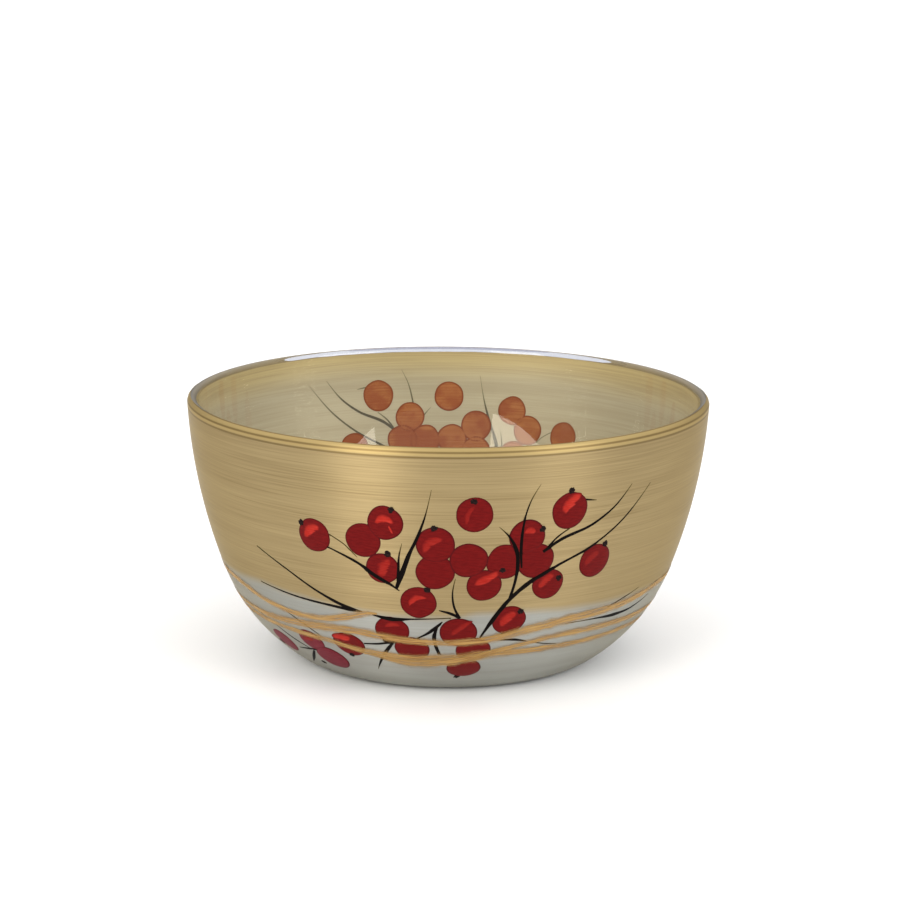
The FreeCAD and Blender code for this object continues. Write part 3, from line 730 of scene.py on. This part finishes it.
class Paint:
    """A Principled material and the few kinds of node that the paints here are made of."""

    def __init__(self, name, roughness=0.4, metallic=0.0, specular=0.5):
        self.material = bpy.data.materials.new(name)
        self.material.use_nodes = True
        self.tree = self.material.node_tree
        self.shader = self.tree.nodes["Principled BSDF"]
        self.set("Roughness", roughness)
        self.set("Metallic", metallic)
        self.set("Specular IOR Level", specular)

    def node(self, kind, **settings):
        made = self.tree.nodes.new(kind)
        for name, value in settings.items():
            setattr(made, name, value)
        return made

    def plug(self, socket, value):
        """Links a socket, or sets a plain number, vector or colour."""
        if isinstance(value, bpy.types.NodeSocket):
            self.tree.links.new(value, socket)
        else:
            socket.default_value = value

    def set(self, name, value):
        self.plug(self.shader.inputs[name], value)

    def value(self, name):
        return self.node("ShaderNodeAttribute", attribute_name=name).outputs["Fac"]

    def vector(self, name):
        return self.node("ShaderNodeAttribute", attribute_name=name).outputs["Vector"]

    def maths(self, operation, *values):
        made = self.node("ShaderNodeMath", operation=operation)
        for socket, value in zip(made.inputs, values):
            self.plug(socket, value)
        return made.outputs[0]

    def ease(self, value, low, high, start=0.0, end=1.0):
        """Eases from start to end as value goes from low to high."""
        made = self.node("ShaderNodeMapRange", interpolation_type="SMOOTHSTEP")
        for name, given in (("Value", value), ("From Min", low), ("From Max", high),
                            ("To Min", start), ("To Max", end)):
            self.plug(made.inputs[name], given)
        return made.outputs["Result"]

    def mix(self, share, first, second):
        """A mix of colours, whose sockets on the node are inputs 6 and 7 and output 2."""
        made = self.node("ShaderNodeMix", data_type="RGBA")
        self.plug(made.inputs[0], share)
        self.plug(made.inputs[6], first)
        self.plug(made.inputs[7], second)
        return made.outputs[2]

    def blend(self, value, low, high, first, second):
        """From the first display colour to the second as value goes from low to high."""
        return self.mix(self.ease(value, low, high), srgb(*first), srgb(*second))

    def noise(self, where, stretch, detail=3.0):
        """Noise from 0 to 1 over a vector attribute in millimetres; stretch is the size of its
        features in each direction."""
        scaled = self.node("ShaderNodeVectorMath", operation="MULTIPLY")
        self.plug(scaled.inputs[0], self.vector(where))
        scaled.inputs[1].default_value = [1 / length for length in stretch]
        made = self.node("ShaderNodeTexNoise")
        made.inputs["Scale"].default_value = 1.0
        made.inputs["Detail"].default_value = detail
        self.plug(made.inputs["Vector"], scaled.outputs[0])
        return made.outputs["Fac"]

    def bump(self, height, depth):
        """Bump of so many millimetres where height is 1."""
        made = self.node("ShaderNodeBump")
        made.inputs["Distance"].default_value = depth * MM
        self.plug(made.inputs["Height"], height)
        self.set("Normal", made.outputs[0])


def glass_material(name, colour):
    paint = Paint(name, roughness=0.0, specular=0.38)
    paint.set("Specular Tint", srgb(255, 248, 232))
    paint.set("Base Color", colour)
    paint.set("Transmission Weight", 1.0)
    paint.set("IOR", 1.5)
    return paint.material


def horizontal_strokes(paint):
    """Marks of a soft brush drawn round the bowl: broad ones and the hairs' fine ones."""
    broad = paint.noise("wall", (70.0, 70.0, 5.0))
    fine = paint.noise("wall", (36.0, 36.0, 0.4), detail=4.0)
    return broad, fine


def coat_outside():
    """Gold above and silver below, with a soft seam between them. Up the round of the lip the gold
    is painted lighter, a painted highlight, and thin dark lines of painted shade run round it."""
    paint = Paint("gold_and_silver_coat", metallic=0.7)
    broad, fine = horizontal_strokes(paint)
    gold = paint.blend(broad, 0.3, 0.7, (156, 137, 99), (147, 128, 91))
    gold = paint.mix(paint.ease(fine, 0.4, 0.75, 0.0, 0.6), gold, srgb(174, 154, 112))
    gold = paint.mix(paint.ease(fine, 0.25, 0.45, 0.35, 0.0), gold, srgb(118, 98, 60))
    silver = paint.blend(broad, 0.3, 0.7, (157, 158, 152), (147, 147, 141))
    silver = paint.mix(paint.ease(fine, 0.35, 0.8, 0.0, 0.35), silver, srgb(174, 176, 173))
    stray = paint.maths("MULTIPLY_ADD", broad, 3.0, -1.5)
    over_seam = paint.maths("ADD", paint.value("rise"), stray)
    place = paint.node("ShaderNodeSeparateXYZ")
    paint.plug(place.inputs[0], paint.vector("wall"))
    climb = place.outputs["Z"]
    # painted highlight: the gold is lighter up the round of the lip
    gold = paint.mix(paint.ease(climb, LIP_CLIMB - 1.2, LIP_CLIMB), gold, srgb(174, 151, 101))
    # painted shade: thin dark lines round the lip
    for line in LIP_SHADE_LINES:
        away = paint.maths("ABSOLUTE", paint.maths("SUBTRACT", climb, LIP_CLIMB + line))
        gold = paint.mix(paint.ease(away, 0.1, 0.45, 0.65, 0.0), gold, srgb(92, 72, 40))
    paint.set("Base Color", paint.mix(paint.ease(over_seam, -2.4, 1.4), silver, gold))
    round_the_bowl = paint.node("ShaderNodeTangent", direction_type="RADIAL", axis="Z")
    paint.set("Specular Tint", srgb(214, 200, 172))
    paint.set("Tangent", round_the_bowl.outputs[0])
    paint.set("Anisotropic", 0.85)
    paint.set("Anisotropic Rotation", 0.25)
    paint.set("Roughness", paint.ease(fine, 0.2, 0.8, 0.42, 0.5))
    paint.bump(fine, 0.01)
    return paint.material


def coat_inside():
    """The same coats as they show through the glass, thin and streaky. Their paler, creamier colours
    are partly the paint's own and partly painted light that shines through the coat from outside.
    """
    paint = Paint("coat_through_glass", roughness=0.5, metallic=0.2, specular=0.2)
    broad, fine = horizontal_strokes(paint)
    streaks = paint.maths("ADD", paint.maths("MULTIPLY", broad, 0.5),
                          paint.maths("MULTIPLY", fine, 0.5))
    dense = paint.ease(paint.value("rise"), 36.0, 47.0)
    thin = paint.blend(streaks, 0.35, 0.65, (176, 165, 137), (164, 152, 124))
    thick = paint.blend(streaks, 0.35, 0.65, (192, 172, 122), (170, 150, 106))
    gold = paint.mix(dense, thin, thick)
    silver = paint.blend(streaks, 0.35, 0.65, (172, 174, 166), (154, 158, 152))
    paint.set("Base Color", paint.mix(paint.ease(paint.value("rise"), -2.0, 2.0), silver, gold))
    return paint.material


def berry_material():
    paint = Paint("berry_red", roughness=0.45, specular=0.06)
    strokes = paint.noise("stroke", (2.4, 0.5, 1.0))
    red = paint.blend(strokes, 0.3, 0.7, (88, 8, 9), (102, 13, 13))
    plum = paint.blend(strokes, 0.3, 0.7, (94, 22, 33), (112, 34, 45))
    body = paint.mix(paint.value("tone"), red, plum)
    rim = paint.ease(paint.value("edge"), 0.86, 0.97)
    paint.set("Base Color", paint.mix(rim, body, srgb(64, 6, 11)))
    paint.bump(strokes, 0.03)
    return paint.material


def berry_behind():
    """A berry as it shows through the coat and the glass."""
    paint = Paint("berry_through_glass", roughness=0.5, specular=0.1)
    _, fine = horizontal_strokes(paint)
    body = paint.blend(fine, 0.35, 0.7, (148, 87, 51), (165, 105, 63))
    thick = paint.ease(paint.noise("wall", (9.0, 9.0, 6.0)), 0.4, 0.6, 0.0, 0.75)
    body = paint.mix(thick, body, srgb(134, 68, 42))
    rim = paint.ease(paint.value("edge"), 0.84, 0.97)
    paint.set("Base Color", paint.mix(rim, body, srgb(120, 60, 36)))
    return paint.material


def gleam_material():
    """Vermilion laid with one crisp side and brushed out into the berry's red on the other."""
    paint = Paint("gleam_red", roughness=0.45, specular=0.06)
    strokes = paint.noise("stroke", (3.0, 0.5, 0.1))
    across = paint.maths("ADD", paint.value("along"), paint.ease(strokes, 0.2, 0.8, -0.35, 0.35))
    crisp = paint.ease(across, -0.95, -0.6)
    brushed_out = paint.ease(across, 0.05, 0.95, 1.0, 0.0)
    ends = paint.ease(paint.value("edge"), 0.7, 1.0, 1.0, 0.0)
    cover = paint.maths("MULTIPLY", paint.maths("MULTIPLY", crisp, brushed_out), ends)
    cover = paint.maths("MULTIPLY", cover, paint.value("tone"))
    light = paint.blend(strokes, 0.3, 0.7, (150, 28, 20), (170, 46, 36))
    paint.set("Base Color", paint.mix(cover, srgb(95, 10, 11), light))
    return paint.material


def twig_material():
    """Near black where the brush pressed, olive where it lifted."""
    paint = Paint("twig_black", roughness=0.5, specular=0.04)
    thin = paint.ease(paint.value("tone"), 0.2, 0.5, 1.0, 0.0)
    paint.set("Base Color", paint.mix(thin, srgb(9, 5, 4), srgb(74, 62, 30)))
    return paint.material


def twig_behind():
    paint = Paint("twig_through_glass", roughness=0.5)
    thin = paint.ease(paint.value("tone"), 0.2, 0.7, 1.0, 0.0)
    paint.set("Base Color", paint.mix(thin, srgb(66, 58, 38), srgb(118, 110, 78)))
    return paint.material


def tip_material():
    paint = Paint("tip_black", roughness=0.5, specular=0.04)
    mottle = paint.noise("stroke", (0.6, 0.6, 1.0))
    paint.set("Base Color", paint.blend(mottle, 0.4, 0.7, (16, 12, 12), (40, 26, 24)))
    return paint.material


def wisp_material():
    """Ochre drawn out thin, so that what it crosses shows between the brush's hairs."""
    paint = Paint("ochre_paint", roughness=0.55, specular=0.2)
    hairs = paint.noise("stroke", (9.0, 0.28, 1.0), detail=4.0)
    pools = paint.noise("stroke", (12.0, 2.0, 1.0))
    light = paint.blend(pools, 0.35, 0.65, (164, 124, 66), (156, 112, 54))
    paint.set("Base Color", paint.mix(paint.ease(hairs, 0.3, 0.7, 0.0, 0.7), light,
                                      srgb(176, 146, 92)))
    edge = paint.ease(paint.value("edge"), 0.3, 1.0, 1.0, 0.05)
    cover = paint.maths("MULTIPLY", edge, paint.ease(hairs, 0.3, 0.6, 0.3, 0.93))
    paint.set("Alpha", cover)
    return paint.material


def wisp_behind():
    paint = Paint("ochre_through_glass", roughness=0.5)
    hairs = paint.noise("stroke", (9.0, 0.28, 1.0))
    paint.set("Base Color", paint.blend(hairs, 0.3, 0.7, (184, 160, 118), (170, 146, 104)))
    return paint.material


def silver_material():
    """The silver under the foot, on the hollow's turned mesh, which has no wall attributes."""
    paint = Paint("silver_dish", roughness=0.42, metallic=0.35)
    where = paint.node("ShaderNodeTexCoord").outputs["Object"]
    swirl = paint.node("ShaderNodeTexNoise")
    swirl.inputs["Scale"].default_value = 90.0
    paint.plug(swirl.inputs["Vector"], where)
    paint.set("Base Color", paint.blend(swirl.outputs["Fac"], 0.35, 0.65,
                                        (158, 162, 156), (144, 149, 143)))
    return paint.material


def floor_material():
    paint = Paint("pale_floor", roughness=0.7)
    grain = paint.node("ShaderNodeTexNoise")
    grain.inputs["Scale"].default_value = 6.0
    paint.set("Base Color", paint.blend(grain.outputs["Fac"], 0.3, 0.7,
                                        (246, 246, 246), (250, 250, 250)))
    return paint.material


# ---- the pieces ----

def belong(piece, slot, *nodes):
    """The piece rides on the bowl and stands for these CAD nodes. slot is not used."""
    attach(piece, "root")
    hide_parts(*nodes)


def dish_coat(material):
    """A film in the hollow under the foot, worn thin at its edge so that it clears the floor."""
    under = [(radius, max(height, DISH_CLEARANCE)) for radius, height in dish_points(-COAT_TOP)]
    over = dish_points(-COAT_BACK)
    profile = over + under[::-1]
    return turned_object("silver_dish_skin", profile, [material])


def build():
    glass = glass_bowl([glass_material("clear_glass", srgb(244, 247, 246)),
                        # the bare lip's glass is tinted darker and bluer than the rest: painted
                        # shade
                        glass_material("lip_glass", srgb(160, 162, 178))])
    glass.visible_shadow = False
    glass.visible_diffuse = False
    belong(glass, "clear_glass", "glass_bowl")

    coats = [coat_outside(), coat_inside()]
    gold = coat("gold_coat_skin", SEAM_CLIMB, COAT_END, coats, high_stray=0.08, lap=LIP_LAP)
    belong(gold, "gold_paint", "gold_coat")
    silver = coat("silver_coat_skin", CLEAR_FOOT, SEAM_CLIMB, coats, low_stray=0.1)
    belong(silver, "silver_paint", "silver_coat")
    belong(dish_coat(silver_material()), "silver_paint", "silver_dish_coat")

    berry_paints = [berry_material(), berry_behind()]
    gleam_paints = [gleam_material()] * 2
    twig_paints = [twig_material(), twig_behind()]
    tip_paints = [tip_material(), twig_paints[1]]
    for side, place, scale in SIDES:
        belong(berries(side, place, scale, berry_paints), "berry_red", side + "_berries")
        belong(gleams(side, place, scale, gleam_paints), "gleam_red", side + "_berry_gleams")
        belong(dots(side, place, scale, tip_paints), "twig_black", side + "_berry_tips")
        belong(twigs(side, place, scale, twig_paints), "twig_black", side + "_twigs")

    wisp_paints = [wisp_material(), wisp_behind()]
    loop = wisp("loop_wisp_paint", LOOP, LOOP_LIFT, wisp_paints, closed=True)
    belong(loop, "ochre_paint", "ochre_wisp_loop")
    winding = wisp("winding_wisp_paint", WINDING, WINDING_LIFT, wisp_paints, closed=False)
    belong(winding, "ochre_paint", "ochre_wisp_winding")


# ---- the studio ----

FLOOR_SIZE = 24.0                # metres, so that its edge is out of sight
FLOOR_GAP = 0.04                 # millimetres under the foot


def floor():
    half = FLOOR_SIZE / 2
    corners = [(-half, -half, 0), (half, -half, 0), (half, half, 0), (-half, half, 0)]
    made = new_object("floor", new_mesh("floor", corners, [(0, 1, 2, 3)], [floor_material()]))
    made.location.z = -FLOOR_GAP * MM


def aimed(thing, place, target, roll=0.0):
    """Puts a light or the camera at place, looking at target."""
    thing.location = place
    look = (Vector(target) - Vector(place)).to_track_quat("-Z", "Y").to_matrix()
    thing.rotation_euler = (look @ Matrix.Rotation(roll, 3, "Z")).to_euler()
    bpy.context.scene.collection.objects.link(thing)


def area_light(name, azimuth, elevation, distance, size, watts, colour=(1, 1, 1)):
    data = bpy.data.lights.new(name, "AREA")
    data.shape = "RECTANGLE"
    data.size, data.size_y = size
    data.energy = watts
    data.color = colour
    turn, rise = math.radians(azimuth), math.radians(elevation)
    place = Vector((math.sin(turn) * math.cos(rise), -math.cos(turn) * math.cos(rise),
                    math.sin(rise))) * distance
    middle = Vector((0, 0, BOWL_HEIGHT / 2 * MM))
    aimed(bpy.data.objects.new(name, data), place + middle, middle)


def world_light():
    """Even white light from above, dimmer towards the horizon."""
    world = bpy.data.worlds.new("studio")
    world.use_nodes = True
    tree = world.node_tree
    direction = tree.nodes.new("ShaderNodeTexCoord").outputs["Generated"]
    parts = tree.nodes.new("ShaderNodeSeparateXYZ")
    rise = tree.nodes.new("ShaderNodeMapRange")
    rise.interpolation_type = "SMOOTHSTEP"
    for name, value in (("From Min", 0.0), ("From Max", 0.7), ("To Min", 0.2), ("To Max", 1.35)):
        rise.inputs[name].default_value = value
    tree.links.new(direction, parts.inputs[0])
    tree.links.new(parts.outputs["Z"], rise.inputs["Value"])
    tree.links.new(rise.outputs["Result"], tree.nodes["Background"].inputs["Strength"])
    tree.nodes["Background"].inputs["Color"].default_value = (1, 1, 1, 1)
    bpy.context.scene.world = world


def studio():
    world_light()
    bpy.context.scene.view_settings.view_transform = "Standard"
    floor()
    area_light("key", azimuth=-35, elevation=22, distance=2.0, size=(0.9, 1.5), watts=22,
               colour=(1.0, 0.97, 0.91))
    area_light("fill", azimuth=52, elevation=24, distance=2.4, size=(1.2, 1.2), watts=21)


def camera():
    """In front of the bowl and a little above it."""
    data = bpy.data.cameras.new("camera")
    data.lens = 112.46
    data.sensor_width = 36.0
    data.clip_start = 0.05
    made = bpy.data.objects.new("camera", data)
    distance = 0.836
    rise = math.radians(14.0)
    middle = Vector((0, 0, 0.038))
    place = middle + distance * Vector((0, -math.cos(rise), math.sin(rise)))
    target = (0.0015, 0.005, 0.058)
    aimed(made, place, target, roll=math.radians(0.48))
    bpy.context.scene.camera = made


build()
studio()
camera()
